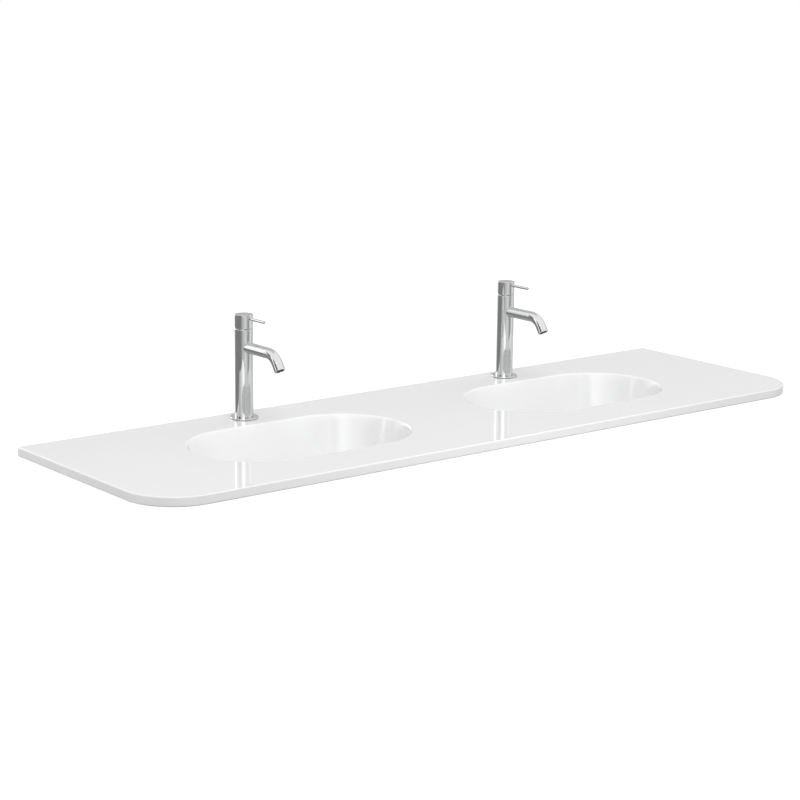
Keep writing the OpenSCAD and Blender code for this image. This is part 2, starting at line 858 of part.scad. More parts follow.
washbasin_top();
fixing_studs();
stud_nuts();
cartridge_nuts();
waste_nuts();
at_tap(left) base_gasket();  // left_base_gasket
at_tap(left) base_ring();  // left_base_ring
at_tap(left) tap_body();  // left_tap_body
at_tap(left) spout();  // left_spout
at_tap(left) aerator_ring();  // left_aerator_ring
at_tap(left) aerator_insert();  // left_aerator_insert
at_tap(left) cartridge_housing();  // left_cartridge_housing
at_tap(left) fixed_disc();  // left_fixed_disc
at_tap(left) moving_disc();  // left_moving_disc
at_tap(left) disc_carrier();  // left_disc_carrier
at_tap(left) turret();  // left_turret
at_tap(left) pivot_pin();  // left_pivot_pin
at_tap(left) stem();  // left_stem
at_tap(left) handle();  // left_handle
at_tap(left) lever_pin();  // left_lever_pin
at_tap(left) grub_screw();  // left_grub_screw
at_tap(left) clamp_gasket();  // left_clamp_gasket
at_tap(left) clamp_plate();  // left_clamp_plate
at_waste(left) waste_gasket();  // left_waste_gasket
at_waste(left) waste_body();  // left_waste_body
at_waste(left) waste_seal();  // left_waste_seal
at_waste(left) click_mechanism();  // left_click_mechanism
at_waste(left) plug();  // left_plug
at_waste(left) plug_seal();  // left_plug_seal
at_waste(left) plug_spindle();  // left_plug_spindle
at_tap(right) base_gasket();  // right_base_gasket
at_tap(right) base_ring();  // right_base_ring
at_tap(right) tap_body();  // right_tap_body
at_tap(right) spout();  // right_spout
at_tap(right) aerator_ring();  // right_aerator_ring
at_tap(right) aerator_insert();  // right_aerator_insert
at_tap(right) cartridge_housing();  // right_cartridge_housing
at_tap(right) fixed_disc();  // right_fixed_disc
at_tap(right) moving_disc();  // right_moving_disc
at_tap(right) disc_carrier();  // right_disc_carrier
at_tap(right) turret();  // right_turret
at_tap(right) pivot_pin();  // right_pivot_pin
at_tap(right) stem();  // right_stem
at_tap(right) handle();  // right_handle
at_tap(right) lever_pin();  // right_lever_pin
at_tap(right) grub_screw();  // right_grub_screw
at_tap(right) clamp_gasket();  // right_clamp_gasket
at_tap(right) clamp_plate();  // right_clamp_plate
at_waste(right) waste_gasket();  // right_waste_gasket
at_waste(right) waste_body();  // right_waste_body
at_waste(right) waste_seal();  // right_waste_seal
at_waste(right) click_mechanism();  // right_click_mechanism
at_waste(right) plug();  // right_plug
at_waste(right) plug_seal();  // right_plug_seal
at_waste(right) plug_spindle();  // right_plug_spindle
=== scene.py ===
import bpy
import math
from mathutils import Matrix, Vector
from mathutils.geometry import delaunay_2d_cdt
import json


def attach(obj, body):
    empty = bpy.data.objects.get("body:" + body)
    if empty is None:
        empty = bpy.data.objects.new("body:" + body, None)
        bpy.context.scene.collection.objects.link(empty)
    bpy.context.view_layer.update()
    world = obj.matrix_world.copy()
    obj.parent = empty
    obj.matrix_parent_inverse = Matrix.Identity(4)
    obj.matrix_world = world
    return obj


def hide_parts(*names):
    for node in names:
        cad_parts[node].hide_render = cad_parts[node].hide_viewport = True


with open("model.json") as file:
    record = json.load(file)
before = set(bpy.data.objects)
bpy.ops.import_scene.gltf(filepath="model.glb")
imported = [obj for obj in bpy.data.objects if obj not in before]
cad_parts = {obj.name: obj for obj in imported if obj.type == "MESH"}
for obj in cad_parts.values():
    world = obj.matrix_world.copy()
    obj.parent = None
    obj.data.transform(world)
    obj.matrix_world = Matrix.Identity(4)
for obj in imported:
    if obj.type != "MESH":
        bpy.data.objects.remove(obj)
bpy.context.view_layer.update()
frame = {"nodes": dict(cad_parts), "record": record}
scene = bpy.context.scene
scene.view_settings.view_transform = "Standard"

# Sizes of the CAD model, in millimetres: half the top's width and depth, and its thickness,
# then the distance between the bowls, and how far the taps stand behind the bowls' middle line
HALF_W, HALF_D, TOP = 750.0, 225.0, 17.0
PITCH, TAP_Y = 627.0, 177.0
SIDES = (("left", -1), ("right", 1))


# Camera, found from the slab's edges, the bowls' rims and the taps in the photo
def make_camera():
    forward = Vector((0.60795055, 0.76293105, -0.21984620))
    right = Vector((0.78356856, -0.62120676, 0.01106685))
    up = Vector((0.12812671, 0.17899267, 0.97547177))
    place = Vector((-2.43180907, -2.93549657, 0.89965740))
    data = bpy.data.cameras.new("camera")
    data.sensor_width = 36.0
    data.lens = 95.3748
    data.clip_end = 100.0
    cam = bpy.data.objects.new("camera", data)
    m = Matrix.Identity(4)
    for i in range(3):
        m[i][0], m[i][1], m[i][2], m[i][3] = right[i], up[i], -forward[i], place[i]
    cam.matrix_world = m
    scene.collection.objects.link(cam)
    scene.camera = cam


# Materials
class Nodes:
    """A new material with a Principled shader, and short calls to add nodes to it."""

    def __init__(self, name):
        self.mat = bpy.data.materials.new(name)
        self.mat.use_nodes = True
        self.tree = self.mat.node_tree
        self.shader = self.tree.nodes["Principled BSDF"]
        self.coord = self.tree.nodes.new("ShaderNodeTexCoord").outputs["Object"]

    def set(self, **values):
        for key, value in values.items():
            self.shader.inputs[key.replace("_", " ")].default_value = value

    def link(self, a, b):
        self.tree.links.new(a, b)

    def mapped(self, scale):
        node = self.tree.nodes.new("ShaderNodeMapping")
        node.inputs["Scale"].default_value = scale
        self.link(self.coord, node.inputs["Vector"])
        return node.outputs["Vector"]

    def noise(self, scale, detail=3.0, rough=0.55, stretch=None):
        node = self.tree.nodes.new("ShaderNodeTexNoise")
        node.inputs["Scale"].default_value = scale
        node.inputs["Detail"].default_value = detail
        node.inputs["Roughness"].default_value = rough
        self.link(self.mapped(stretch) if stretch else self.coord, node.inputs["Vector"])
        return node.outputs["Fac"]

    def ranged(self, value, low, high, start=0.3, end=0.7):
        node = self.tree.nodes.new("ShaderNodeMapRange")
        for key, v in (("From Min", start), ("From Max", end), ("To Min", low), ("To Max", high)):
            node.inputs[key].default_value = v
        self.link(value, node.inputs["Value"])
        return node.outputs["Result"]

    def tones(self, value, stops):
        node = self.tree.nodes.new("ShaderNodeValToRGB")
        ramp = node.color_ramp
        for i, (pos, colour) in enumerate(stops):
            if i < 2:
                ramp.elements[i].position = pos
                ramp.elements[i].color = (*colour, 1)
            else:
                ramp.elements.new(pos).color = (*colour, 1)
        self.link(value, node.inputs["Fac"])
        return node.outputs["Color"]

    def bump(self, height, strength, distance, edge=0.0):
        node = self.tree.nodes.new("ShaderNodeBump")
        node.inputs["Strength"].default_value = strength
        node.inputs["Distance"].default_value = distance
        self.link(height, node.inputs["Height"])
        if edge:
            bevel = self.tree.nodes.new("ShaderNodeBevel")
            bevel.samples = 4
            bevel.inputs["Radius"].default_value = edge
            self.link(bevel.outputs["Normal"], node.inputs["Normal"])
        self.link(node.outputs["Normal"], self.shader.inputs["Normal"])


def glaze():
    n = Nodes("white_glaze")
    n.set(IOR=1.5, Metallic=0.0)
    n.link(n.tones(n.noise(4.0), [(0.3, (0.905, 0.907, 0.907)), (0.7, (0.92, 0.922, 0.921))]),
           n.shader.inputs["Base Color"])
    n.link(n.ranged(n.noise(30.0), 0.05, 0.085), n.shader.inputs["Roughness"])
    n.bump(n.noise(26.0, 2.0), 0.02, 0.0006)
    return n.mat


def chrome():
    n = Nodes("polished_chrome")
    n.set(Metallic=1.0)
    n.link(n.tones(n.noise(60.0), [(0.3, (0.605, 0.608, 0.613)), (0.7, (0.635, 0.637, 0.641))]),
           n.shader.inputs["Base Color"])
    n.link(n.ranged(n.noise(140.0, 4.0), 0.035, 0.075), n.shader.inputs["Roughness"])
    n.bump(n.noise(90.0, 2.0), 0.015, 0.0004, edge=0.0004)
    return n.mat


def metal(name, dark, light, rough, lines):
    """lines: how much finer the grain is along each axis."""
    n = Nodes(name)
    n.set(Metallic=1.0)
    grain = n.noise(60.0, 4.0, 0.7, stretch=lines)
    n.link(n.tones(grain, [(0.3, dark), (0.7, light)]), n.shader.inputs["Base Color"])
    n.link(n.ranged(grain, rough - 0.07, rough + 0.07), n.shader.inputs["Roughness"])
    n.bump(grain, 0.12, 0.0002, edge=0.0003)
    return n.mat


def rubber():
    n = Nodes("black_rubber")
    n.link(n.tones(n.noise(300.0, 5.0), [(0.3, (0.018, 0.018, 0.019)), (0.7, (0.034, 0.034, 0.035))]),
           n.shader.inputs["Base Color"])
    n.link(n.ranged(n.noise(120.0), 0.55, 0.75), n.shader.inputs["Roughness"])
    n.bump(n.noise(900.0, 3.0), 0.25, 0.0002, edge=0.0003)
    return n.mat


def plastic(name, dark, light, rough, gloss):
    n = Nodes(name)
    n.set(Specular_IOR_Level=gloss)
    n.link(n.tones(n.noise(40.0), [(0.3, dark), (0.7, light)]), n.shader.inputs["Base Color"])
    n.link(n.ranged(n.noise(200.0), rough - 0.06, rough + 0.06), n.shader.inputs["Roughness"])
    n.bump(n.noise(1200.0, 2.0), 0.15, 0.0001, edge=0.0003)
    return n.mat


def alumina():
    n = Nodes("lapped_alumina")
    n.link(n.tones(n.noise(700.0, 5.0, 0.7), [(0.35, (0.80, 0.78, 0.74)), (0.6, (0.88, 0.86, 0.83))]),
           n.shader.inputs["Base Color"])
    n.link(n.ranged(n.noise(250.0), 0.16, 0.3), n.shader.inputs["Roughness"])
    n.bump(n.noise(1500.0, 2.0), 0.08, 0.0001, edge=0.0002)
    return n.mat


LOOK = {
    "glaze": glaze(),
    "chrome_plate": chrome(),
    "black_rubber": rubber(),
    "brass": metal("turned_brass", (0.60, 0.42, 0.17), (0.74, 0.55, 0.26), 0.28, (1, 1, 9)),
    "steel": metal("brushed_steel", (0.45, 0.45, 0.46), (0.60, 0.60, 0.61), 0.30, (1, 14, 1)),
    "white_plastic": plastic("white_plastic", (0.74, 0.735, 0.71), (0.80, 0.795, 0.775), 0.42, 0.25),
    "dark_plastic": plastic("dark_plastic", (0.014, 0.0145, 0.016), (0.024, 0.0245, 0.027), 0.5, 0.1),
    "alumina": alumina(),
}


def dress_frame():
    for part in frame["record"]["subparts"]:
        node = frame["nodes"][part["node"]]
        for s in node.material_slots:
            s.link = "OBJECT"
            s.material = LOOK[part["material_slot"]]


# Mesh building
MM = 0.001
# Turns in radians: a corner below SLIGHT isn't rounded, and the shading runs on over one below SMOOTH
SLIGHT, SMOOTH = 0.05, 0.35
# Step along a rounding in radians, and the share of a side that a rounding may take
ARC_STEP, MAX_CUT = 0.3, 0.49


class Shell:
    """A mesh with an exact normal at each face corner. Points are in millimetres."""

    def __init__(self):
        self.index, self.verts, self.faces, self.normals = {}, [], [], []

    def face(self, corners):
        """corners: [(point, normal), ...] counter-clockwise seen from outside."""
        ids, ns = [], []
        for p, n in corners:
            key = tuple(round(c, 4) for c in p)
            i = self.index.setdefault(key, len(self.verts))
            if i == len(self.verts):
                self.verts.append(tuple(c * MM for c in p))
            if i not in ids:
                ids.append(i)
                ns.append(n)
        if len(ids) > 2:
            self.faces.append(ids)
            self.normals.extend(ns)

    def object(self, name, material, body, *nodes):
        mesh = bpy.data.meshes.new(name)
        mesh.from_pydata(self.verts, [], self.faces)
        mesh.polygons.foreach_set("use_smooth", [True] * len(self.faces))
        mesh.normals_split_custom_set([Vector(n).normalized() for n in self.normals])
        mesh.materials.append(LOOK[material])
        obj = bpy.data.objects.new(name, mesh)
        scene.collection.objects.link(obj)
        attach(obj, body)
        if nodes:
            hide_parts(*nodes)


def turned(d):
    """The outward normal of an outline that runs in direction d, with the material on its right."""
    return (-d[1], d[0])


def outline(points, closed, step=None):
    """Straight and rounded stretches [(point, point, normal, normal)] through [(s, r, rounding), ...].

    A closed outline goes back to its first point, and step is the longest straight stretch.
    """
    n = len(points)
    pts = [(p[0], p[1]) for p in points]
    radii = [p[2] if len(p) > 2 else 0.0 for p in points]

    def unit(a, b):
        d = (b[0] - a[0], b[1] - a[1])
        k = math.hypot(*d)
        return (d[0] / k, d[1] / k), k

    arcs, stretches = [], []
    for i in range(n):
        if not closed and i in (0, n - 1):
            arcs.append([(pts[i], None)])
            continue
        (d1, l1), (d2, l2) = unit(pts[i - 1], pts[i]), unit(pts[i], pts[(i + 1) % n])
        turn = math.atan2(d1[0] * d2[1] - d1[1] * d2[0], d1[0] * d2[0] + d1[1] * d2[1])
        r = radii[i]
        if r and abs(turn) > SLIGHT:
            cut = min(r * math.tan(abs(turn) / 2), MAX_CUT * l1, MAX_CUT * l2)
            r = cut / math.tan(abs(turn) / 2)
            sign = 1 if turn > 0 else -1
            start = (pts[i][0] - d1[0] * cut, pts[i][1] - d1[1] * cut)
            centre = (start[0] - sign * d1[1] * r, start[1] + sign * d1[0] * r)
            n1 = turned(d1)
            steps = max(3, math.ceil(abs(turn) / ARC_STEP))
            arc = []
            for k in range(steps + 1):
                a = turn * k / steps
                normal = (n1[0] * math.cos(a) - n1[1] * math.sin(a),
                          n1[0] * math.sin(a) + n1[1] * math.cos(a))
                arc.append(((centre[0] - sign * normal[0] * r, centre[1] - sign * normal[1] * r), normal))
            arcs.append(arc)
        elif abs(turn) < SMOOTH:
            m = (d1[0] + d2[0], d1[1] + d2[1])
            k = math.hypot(*m)
            arcs.append([(pts[i], turned((m[0] / k, m[1] / k)))])
        else:
            arcs.append([(pts[i], None)])
    for i, arc in enumerate(arcs):
        for (p, a), (q, b) in zip(arc, arc[1:]):
            stretches.append((p, q, a, b))
        if i == n - 1 and not closed:
            break
        (p, a), (q, b) = arc[-1], arcs[(i + 1) % n][0]
        d, length = unit(p, q)
        a, b = a or turned(d), b or turned(d)
        parts = max(1, math.ceil(length / step)) if step else 1
        for k in range(parts):
            u, v = k / parts, (k + 1) / parts
            stretches.append(((p[0] + (q[0] - p[0]) * u, p[1] + (q[1] - p[1]) * u),
                              (p[0] + (q[0] - p[0]) * v, p[1] + (q[1] - p[1]) * v),
                              tuple(a[m] * (1 - u) + b[m] * u for m in (0, 1)),
                              tuple(a[m] * (1 - v) + b[m] * v for m in (0, 1))))
    return stretches


def sweep(shell, path, points, closed=True, seg=96, step=None, warp=None):
    """Turns an outline of (distance along the path, radius) about the path."""
    ring = [(math.cos(2 * math.pi * j / seg), math.sin(2 * math.pi * j / seg)) for j in range(seg + 1)]

    def corner(p, n, c):
        centre, along, x, y = path(p[0])
        out = x * c[0] + y * c[1]
        point = centre + out * p[1]
        return (warp(point) if warp else point), along * n[0] + out * n[1]

    for p, q, a, b in outline(points, closed, step):
        for c, d in zip(ring, ring[1:]):
            shell.face([corner(p, a, c), corner(p, a, d), corner(q, b, d), corner(q, b, c)])
    return shell


def straight(x, y, z, along=(0, 0, 1), across=(1, 0, 0)):
    """A straight path from a point, for sweep."""
    start, t, u = Vector((x, y, z)), Vector(along), Vector(across)
    v = t.cross(u)
    return lambda s: (start + t * s, t, u, v)


# Basin top. half is half of the bowl's straight part, and rim the distance of its rim from its middle line.
# drain is how far the meshed floor reaches, cell the size of its mesh, and soft rounds the floor's middle.
BOWL = {"half": 91.0, "rim": 127.0, "rim_r": 5.0, "draft": math.radians(15), "wall": 12.0,
        "floor_r": 32.0, "fall": math.radians(2), "floor": TOP - 110.0, "bottom": TOP - 124.0,
        "under_r": 8.0, "outer_r": 38.0, "recess": 32.3, "recess_z": TOP - 113.4, "hole": 23.0,
        "drain": 56.0, "cell": 9.0, "cells": (18, 7), "soft": 12.0}
# Tap hole, flat spot below it and the spot's height, rounding of the edge, and front corners
TAP_HOLE, SPOT, SPOT_Z, EDGE, CORNER = 17.5, 30.0, 3.0, 2.5, 95.0
# Heights in the tap are counted from the basin's top face
TAP = {"r": 17.0, "top": 192.0, "seam": 166.25, "bore": 13.8, "bore_top": 176.5, "chamfer": 0.6,
       "seam_chamfer": 0.8, "lean": math.radians(15), "foot": 13.5, "ring_r": 26.0, "ring_z": 0.8,
       "ring_top": 3.4}
SPOUT = {"z": 132.5, "r": 10.25, "bore": 8.75, "root": 13.0, "reach": 113.0, "bend": 34.0,
         "angle": math.radians(56), "outlet": 14.0, "weld": 0.3}
LEVER = {"z": 186.0, "r": 2.8, "root": 8.0, "end": 65.0, "tip": 0.4, "hollow": 1.7, "hollow_end": 1.6,
         "hollow_l": 2.5}
# Heights of the plug are counted from the bowl's floor
PLUG = {"r": 31.5, "bottom": 2.3, "edge": 4.7, "rise": 2.6}


def disc_points(cx, cy, r, seg=96):
    turns = [2 * math.pi * k / seg for k in range(seg)]
    return [(cx + r * math.cos(a), cy + r * math.sin(a)) for a in turns]


def oval(cx, r, arc=72, run=26):
    """Points (x, y, direction) round a long oval at the distance r from its middle line."""
    half, out = BOWL["half"], []
    for side in (1, -1):
        for k in range(arc + 1):
            a = math.pi * (k / arc - 0.5) + (0 if side > 0 else math.pi)
            d = (math.cos(a), math.sin(a))
            out.append((cx + side * half + r * d[0], r * d[1], d))
        for k in range(1, run):
            x = side * half * (1 - 2 * k / run)
            out.append((cx + x, side * r, (0.0, float(side))))
    return out


def plan(inset, arc=40):
    """Points (x, y, direction) round the top's outline, drawn in by inset, counter-clockwise."""
    out = []
    corners = ((1, 1, EDGE, 0), (-1, 1, EDGE, 90), (-1, -1, CORNER, 180), (1, -1, CORNER, 270))
    for sx, sy, r, start in corners:
        r = max(r, inset)
        cx, cy = sx * (HALF_W - r), sy * (HALF_D - r)
        for k in range(arc + 1):
            a = math.radians(start + 90 * k / arc)
            d = (math.cos(a), math.sin(a))
            out.append((cx + (r - inset) * d[0], cy + (r - inset) * d[1], d))
    return out


def band(shell, loop_of, section):
    """Strips between rings. section is [((r, z), (q, w), normal, normal)], and loop_of(r) gives a ring."""
    for p, q, a, b in section:
        low, high = loop_of(p[0]), loop_of(q[0])
        for k in range(len(low)):
            m = (k + 1) % len(low)
            quad = [(low[k], p, a), (low[m], p, a), (high[m], q, b), (high[k], q, b)]
            shell.face([((v[0], v[1], w[1]), (n[0] * v[2][0], n[0] * v[2][1], n[1]))
                        for v, w, n in quad])


def fill(shell, loops, inside, height, normal, extra=(), flip=False):
    """Triangles over a flat or gently sloped area between loops. flip turns them to face down."""
    points, edges = [], []
    for loop in loops:
        base, kept = len(points), []
        for p in loop:
            if not kept or math.hypot(p[0] - kept[-1][0], p[1] - kept[-1][1]) > 1e-4:
                kept.append((p[0], p[1]))
        if math.hypot(kept[0][0] - kept[-1][0], kept[0][1] - kept[-1][1]) < 1e-4:
            kept.pop()
        points += kept
        edges += [(base + k, base + (k + 1) % len(kept)) for k in range(len(kept))]
    points += list(extra)
    verts, _, faces, *_ = delaunay_2d_cdt([Vector(p) for p in points], edges, [], 0, 1e-5)
    for f in faces:
        c = sum((verts[i] for i in f), Vector((0, 0))) / len(f)
        if inside(c.x, c.y):
            ring = [verts[i] for i in f]
            area = sum(ring[k - 1].x * ring[k].y - ring[k].x * ring[k - 1].y for k in range(len(ring)))
            if (area < 0) != flip:
                ring.reverse()
            shell.face([((v.x, v.y, height(v.x, v.y)), normal(v.x, v.y)) for v in ring])


def arc_section(centre, r, start, end, sign, steps):
    """A rounding between two unit directions. Where sign is 1, its normals point away from its centre."""
    a, b = math.atan2(start[1], start[0]), math.atan2(end[1], end[0])
    b += 2 * math.pi * round((a - b) / (2 * math.pi))
    out = []
    for k in range(steps + 1):
        t = a + (b - a) * k / steps
        d = (math.cos(t), math.sin(t))
        out.append(((centre[0] + r * d[0], centre[1] + r * d[1]), (sign * d[0], sign * d[1])))
    return out


def joined(*chains):
    """One section from chains of (point, normal)."""
    chain = [c for part in chains for c in part]
    return [(p, q, a, b) for (p, a), (q, b) in zip(chain, chain[1:]) if math.dist(p, q) > 1e-6]


def make_top():
    g, shell = BOWL, Shell()
    sd, cd = math.sin(g["draft"]), math.cos(g["draft"])
    down, inward, up = (-sd, -cd), (-cd, sd), (-math.sin(g["fall"]), math.cos(g["fall"]))
    dot = lambda a, b: a[0] * b[0] + a[1] * b[1]
    at = lambda p, k, d: (p[0] + k * d[0], p[1] + k * d[1])
    neg = lambda d: (-d[0], -d[1])

    def rounding(p, f, u, r):
        q = at(p, r, inward)
        return at(q, (r - dot((q[0] - f[0], q[1] - f[1]), u)) / dot(down, u), down)

    rim_c = (g["rim"], TOP - g["rim_r"])
    wall_top = at(rim_c, g["rim_r"], inward)
    outer_top = at(wall_top, -g["wall"], inward)
    inner_c = rounding(wall_top, (0, g["floor"]), up, g["floor_r"])
    outer_c = rounding(outer_top, (0, g["bottom"]), (0, 1), g["outer_r"])
    q = at(outer_top, -g["under_r"], inward)
    under_c = at(q, (-g["under_r"] - q[1]) / down[1], down)
    slope, soft, cell = math.tan(g["fall"]), g["soft"], g["cell"]

    def floor_at(rho):
        return g["floor"] + slope * math.hypot(rho, soft)

    def floor_normal(rho):
        k = slope * rho / math.hypot(rho, soft)
        return (-k / math.hypot(k, 1), 1 / math.hypot(k, 1))

    floor_start = inner_c[0] - g["floor_r"] * up[0] - 2
    radii = [floor_start + (g["drain"] - floor_start) * k / 4 for k in range(5)]
    hollow = joined(
        arc_section(rim_c, g["rim_r"], (0, 1), inward, 1, 16),
        arc_section(inner_c, g["floor_r"], neg(inward), neg(up), -1, 24)[:-1],
        [((r, floor_at(r)), floor_normal(r)) for r in radii])
    outside = joined(
        arc_section(under_c, g["under_r"], (0, 1), inward, -1, 10),
        [(p, neg(n)) for p, n in arc_section(outer_c, g["outer_r"], neg(inward), (0, -1), -1, 20)])
    facing_down = (0, 0, -1)

    def spine(x, y, cx):
        return math.hypot(max(abs(x - cx) - g["half"], 0), y)

    centres = [s * PITCH / 2 for _, s in SIDES]
    for cx in centres:
        band(shell, lambda r: oval(cx, r), hollow)
        band(shell, lambda r: list(reversed(oval(cx, r))), outside)

        def sloped(x, y):
            rho = spine(x, y, cx)
            n = floor_normal(rho)
            dx = math.copysign(max(abs(x - cx) - g["half"], 0), x - cx)
            k = n[0] / rho if rho > 1e-6 else 0
            return (k * dx, k * y, n[1])

        across, along = g["cells"]
        grid = [(cx + i * cell, j * cell)
                for i in range(-across, across + 1) for j in range(-along, along + 1)
                if spine(cx + i * cell, j * cell, cx) < g["drain"] - 5
                and math.hypot(i * cell, j * cell) > g["recess"] + 5]
        fill(shell, [oval(cx, g["drain"]), disc_points(cx, 0, g["recess"])],
             lambda x, y: spine(x, y, cx) < g["drain"] - 0.01 and math.hypot(x - cx, y) > g["recess"] - 0.1,
             lambda x, y: floor_at(spine(x, y, cx)), sloped, extra=grid)
        drain = disc_points(cx, 0, g["recess"])
        for k in range(len(drain)):
            a, b = drain[k], drain[(k + 1) % len(drain)]
            na, nb = (cx - a[0], -a[1], 0), (cx - b[0], -b[1], 0)
            za, zb = floor_at(spine(a[0], a[1], cx)), floor_at(spine(b[0], b[1], cx))
            shell.face([((*a, za), na), ((*b, zb), nb),
                        ((*b, g["recess_z"]), nb), ((*a, g["recess_z"]), na)])
        sweep(shell, straight(cx, 0, 0), [(g["recess_z"], g["recess"]), (g["recess_z"], g["hole"]),
                                          (g["bottom"], g["hole"])], closed=False)
        fill(shell, [oval(cx, outer_c[0]), disc_points(cx, 0, g["hole"])],
             lambda x, y: spine(x, y, cx) < outer_c[0] - 0.01 and math.hypot(x - cx, y) > g["hole"] - 0.1,
             lambda x, y: g["bottom"], lambda x, y: facing_down, flip=True)
        sweep(shell, straight(cx, TAP_Y, 0),
              [(TOP, TAP_HOLE), (SPOT_Z, TAP_HOLE), (SPOT_Z, SPOT), (0, SPOT)], closed=False)
    edge = joined(
        [((EDGE - EDGE * math.sin(a), TOP - EDGE + EDGE * math.cos(a)), (math.sin(a), math.cos(a)))
         for a in (math.pi * k / 16 for k in range(9))],
        [((EDGE - EDGE * math.sin(a), EDGE + EDGE * math.cos(a)), (math.sin(a), math.cos(a)))
         for a in (math.pi * (0.5 + k / 16) for k in range(9))])
    band(shell, lambda inset: list(reversed(plan(inset))), edge)

    def clear(x, y, rim, hole):
        near = lambda px, py, r: math.hypot(x - px, y - py) > r - 0.05
        return all(spine(x, y, cx) > rim - 0.02 and near(cx, TAP_Y, hole) for cx in centres)

    taps = lambda r: [disc_points(cx, TAP_Y, r) for cx in centres]
    fill(shell, [plan(EDGE)] + [oval(cx, g["rim"]) for cx in centres] + taps(TAP_HOLE),
         lambda x, y: in_plan(x, y) and clear(x, y, g["rim"], TAP_HOLE),
         lambda x, y: TOP, lambda x, y: (0, 0, 1))
    fill(shell, [plan(EDGE)] + [oval(cx, under_c[0]) for cx in centres] + taps(SPOT),
         lambda x, y: in_plan(x, y) and clear(x, y, under_c[0], SPOT),
         lambda x, y: 0.0, lambda x, y: facing_down, flip=True)
    shell.object("basin_top_glazed", "glaze", "basin", "washbasin_top")


def in_plan(x, y):
    """Inside the outline drawn in by the edge's rounding."""
    w, d, r = HALF_W - EDGE, HALF_D - EDGE, CORNER - EDGE
    if abs(x) > w or abs(y) > d:
        return False
    dx, dy = abs(x) - (w - r), -(d - r) - y
    return not (dx > 0 and dy > 0 and math.hypot(dx, dy) > r)


# Taps
def make_tap(side, s):
    x, t, p, lever = s * PITCH / 2, TAP, SPOUT, LEVER
    axis = straight(x, TAP_Y, TOP)
    shell = sweep(Shell(), axis, [(t["ring_z"], t["foot"]), (t["ring_z"], t["ring_r"], 0.2),
                                  (t["ring_top"], t["ring_r"], 0.9), (t["ring_top"], t["foot"])], seg=128)
    shell.object(f"{side}_ring_polished", "chrome_plate", "basin", f"{side}_base_ring")

    sin_a, cos_a = math.sin(p["angle"]), math.cos(p["angle"])
    start = p["reach"] - p["bend"] * sin_a - p["outlet"] * cos_a
    bend_end = start + p["bend"] * p["angle"]

    def course(k):
        along, level = Vector((0, -1, 0)), Vector((1, 0, 0))
        centre = Vector((x, TAP_Y, TOP + p["z"]))
        if k <= start:
            centre += along * k
        else:
            a = min((k - start) / p["bend"], p["angle"])
            centre += Vector((0, -(start + p["bend"] * math.sin(a)), -p["bend"] * (1 - math.cos(a))))
            along = Vector((0, -math.cos(a), -math.sin(a)))
            centre += along * max(0.0, k - bend_end)
        return centre, along, level, along.cross(level)

    end = bend_end + p["outlet"]
    welds = []
    for k in (start, bend_end):
        w = p["weld"]
        welds += [(k - 2 * w, p["r"], 0.4), (k, p["r"] + w / 3, 0.8), (k + 2 * w, p["r"], 0.4)]
    shell = sweep(Shell(), course, [(p["root"], p["bore"]), (p["root"], p["r"]), *welds, (end, p["r"], 0.5),
                                    (end, p["bore"], 0.35)], seg=96, step=1.6)
    shell.object(f"{side}_spout_polished", "chrome_plate", "basin", f"{side}_spout")

    def relief(v):
        if v.z - TOP - t["seam"] > t["seam_chamfer"] + 0.2 or v.y < TAP_Y:
            return v
        return Vector((v.x, v.y, v.z + (v.y - TAP_Y) * math.tan(t["lean"])))

    shell = sweep(Shell(), axis, [(t["bore_top"], 0.0), (t["bore_top"], t["bore"], 1.0),
                                  (t["seam"], t["bore"], 0.2), (t["seam"], t["r"] - t["seam_chamfer"], 0.15),
                                  (t["seam"] + t["seam_chamfer"], t["r"], 0.3),
                                  (t["top"], t["r"], t["chamfer"]), (t["top"], 0.0)],
                  closed=False, seg=128, warp=relief)
    shell.object(f"{side}_handle_polished", "chrome_plate", f"{side}_lever", f"{side}_handle")
    pin = straight(x, TAP_Y, TOP + lever["z"], (0, -1, 0))
    hollow = lever["end"] - lever["hollow_l"]
    shell = sweep(Shell(), pin, [(lever["root"], 0.0), (lever["root"], lever["r"]),
                                 (lever["end"], lever["r"], lever["tip"]),
                                 (lever["end"], lever["hollow"], 0.2),
                                 (hollow, lever["hollow_end"], 0.3), (hollow, 0.0)],
                  closed=False, seg=64)
    shell.object(f"{side}_lever_polished", "chrome_plate", f"{side}_lever", f"{side}_lever_pin")


def make_plug(side, s):
    g = PLUG
    axis = straight(s * PITCH / 2, 0, BOWL["floor"])
    ball = (g["r"] ** 2 + g["rise"] ** 2) / (2 * g["rise"])
    crown = g["edge"] + g["rise"]
    dome = [(crown - ball + math.sqrt(ball ** 2 - r ** 2), r) for r in (28.0, 24.0, 19.0, 14.0, 9.0, 4.0)]
    shell = sweep(Shell(), axis, [(g["bottom"], 0.0), (g["bottom"], g["r"], 0.4), (g["edge"], g["r"], 0.9),
                                  *dome, (crown, 0.0)],
                  closed=False, seg=128)
    shell.object(f"{side}_plug_polished", "chrome_plate", f"{side}_plug", f"{side}_plug")


# Stage and light
def ray_switch(tree, *kinds):
    """1 for rays of any of these kinds, otherwise 0."""
    path = tree.nodes.new("ShaderNodeLightPath")
    value = path.outputs[kinds[0]]
    for kind in kinds[1:]:
        node = tree.nodes.new("ShaderNodeMath")
        node.operation = "MAXIMUM"
        tree.links.new(value, node.inputs[0])
        tree.links.new(path.outputs[kind], node.inputs[1])
        value = node.outputs[0]
    return value


